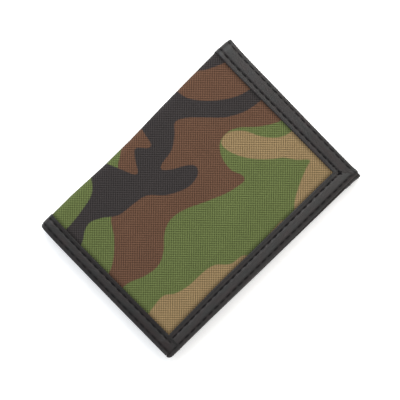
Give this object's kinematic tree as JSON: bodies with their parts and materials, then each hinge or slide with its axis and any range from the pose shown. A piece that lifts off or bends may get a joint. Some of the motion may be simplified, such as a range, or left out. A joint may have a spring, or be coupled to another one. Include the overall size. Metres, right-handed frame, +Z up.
{
  "type": "trifold wallet",
  "caption": "Camouflage-print cloth trifold wallet with black bound edges, hook-and-loop closure, zipped coin pocket, card pockets and note compartment.",
  "frame": {"origin": "middle of the resting face of the folded wallet", "axes": "+X from the front fold to the front flap's free edge, +Y up the wallet to the edge the note compartment opens at, +Z up through the folded thickness"},
  "size_m": [0.0886, 0.125, 0.014],
  "materials": {
    "camo_cloth": "coated plain-weave nylon with a woodland camouflage print",
    "lining_cloth": "black coated nylon taffeta",
    "pocket_cloth": "black plain-weave nylon",
    "binding_tape": "black woven binding tape, faint sheen",
    "hook_tape": "black moulded hooks on woven tape",
    "loop_tape": "black napped loop pile",
    "clear_vinyl": "clear soft vinyl, slightly hazy",
    "zip_tape": "black herringbone zip tape",
    "zip_coil": "black nylon coil",
    "zip_metal": "black enamelled zinc, worn at its edges"
  },
  "bodies": {
    "center_panel": {"shell_center": "camo_cloth", "lining_center": "lining_cloth", "binding_top_shell_center": "binding_tape", "binding_top_lining_center": "binding_tape", "binding_bottom_center": "binding_tape", "id_window": "clear_vinyl", "id_window_frame": "pocket_cloth"},
    "front_spine": {"shell_front_spine": "camo_cloth", "lining_front_spine": "lining_cloth", "binding_top_shell_front_spine": "binding_tape", "binding_top_lining_front_spine": "binding_tape", "binding_bottom_front_spine": "binding_tape"},
    "front_flap": {"shell_front": "camo_cloth", "lining_front": "lining_cloth", "binding_top_shell_front": "binding_tape", "binding_top_lining_front": "binding_tape", "binding_bottom_front": "binding_tape", "binding_edge_front": "binding_tape", "hook_strip": "hook_tape", "coin_pocket": "pocket_cloth", "zipper_tape_lower": "zip_tape", "zipper_tape_upper": "zip_tape", "zipper_coil_lower": "zip_coil", "zipper_coil_upper": "zip_coil", "zipper_stops": "zip_metal"},
    "inner_spine": {"shell_inner_spine": "camo_cloth", "lining_inner_spine": "lining_cloth", "binding_top_shell_inner_spine": "binding_tape", "binding_top_lining_inner_spine": "binding_tape", "binding_bottom_inner_spine": "binding_tape"},
    "inner_flap": {"shell_inner": "camo_cloth", "lining_inner": "lining_cloth", "binding_top_shell_inner": "binding_tape", "binding_top_lining_inner": "binding_tape", "binding_bottom_inner": "binding_tape", "binding_edge_inner": "binding_tape", "loop_strip": "loop_tape", "card_pocket_1": "pocket_cloth", "card_pocket_2": "pocket_cloth", "card_pocket_3": "pocket_cloth", "card_pocket_trim_1": "binding_tape", "card_pocket_trim_2": "binding_tape", "card_pocket_trim_3": "binding_tape"},
    "zip_slider": {"zipper_slider": "zip_metal"},
    "zip_pull": {"zipper_pull": "zip_metal"}
  },
  "joints": [
    {"name": "front_fold", "type": "hinge", "parent": "center_panel", "child": "front_spine", "pos_m": [-0.04279, 0, 0.00146], "axis": [0, -1, 0], "range_deg": [0, 90]},
    {"name": "front_flap_fold", "type": "hinge", "parent": "front_spine", "child": "front_flap", "pos_m": [-0.04279, 0, 0.01254], "axis": [0, -1, 0], "range_deg": [0, 90]},
    {"name": "inner_fold", "type": "hinge", "parent": "center_panel", "child": "inner_spine", "pos_m": [0.0432, 0, 0.00105], "axis": [0, 1, 0], "range_deg": [0, 90]},
    {"name": "inner_flap_fold", "type": "hinge", "parent": "inner_spine", "child": "inner_flap", "pos_m": [0.0432, 0, 0.0076], "axis": [0, 1, 0], "range_deg": [0, 90], "deforming": ["shell_inner", "lining_inner", "binding_top_shell_inner", "binding_top_lining_inner", "binding_bottom_inner", "binding_edge_inner", "loop_strip", "card_pocket_1", "card_pocket_2", "card_pocket_3", "card_pocket_trim_1", "card_pocket_trim_2", "card_pocket_trim_3"]},
    {"name": "zip_travel", "type": "slide", "parent": "front_flap", "child": "zip_slider", "axis": [-1, 0, 0], "range_m": [0, 0.0325]},
    {"name": "pull_swivel", "type": "hinge", "parent": "zip_slider", "child": "zip_pull", "pos_m": [0.0091, 0.033, 0.00915], "axis": [0, 0, 1], "range_deg": [-25, 25]}
  ],
  "couplings": [
    {"joint": "front_flap_fold", "follows": "front_fold", "ratio": 1},
    {"joint": "inner_flap_fold", "follows": "inner_fold", "ratio": 1}
  ]
}
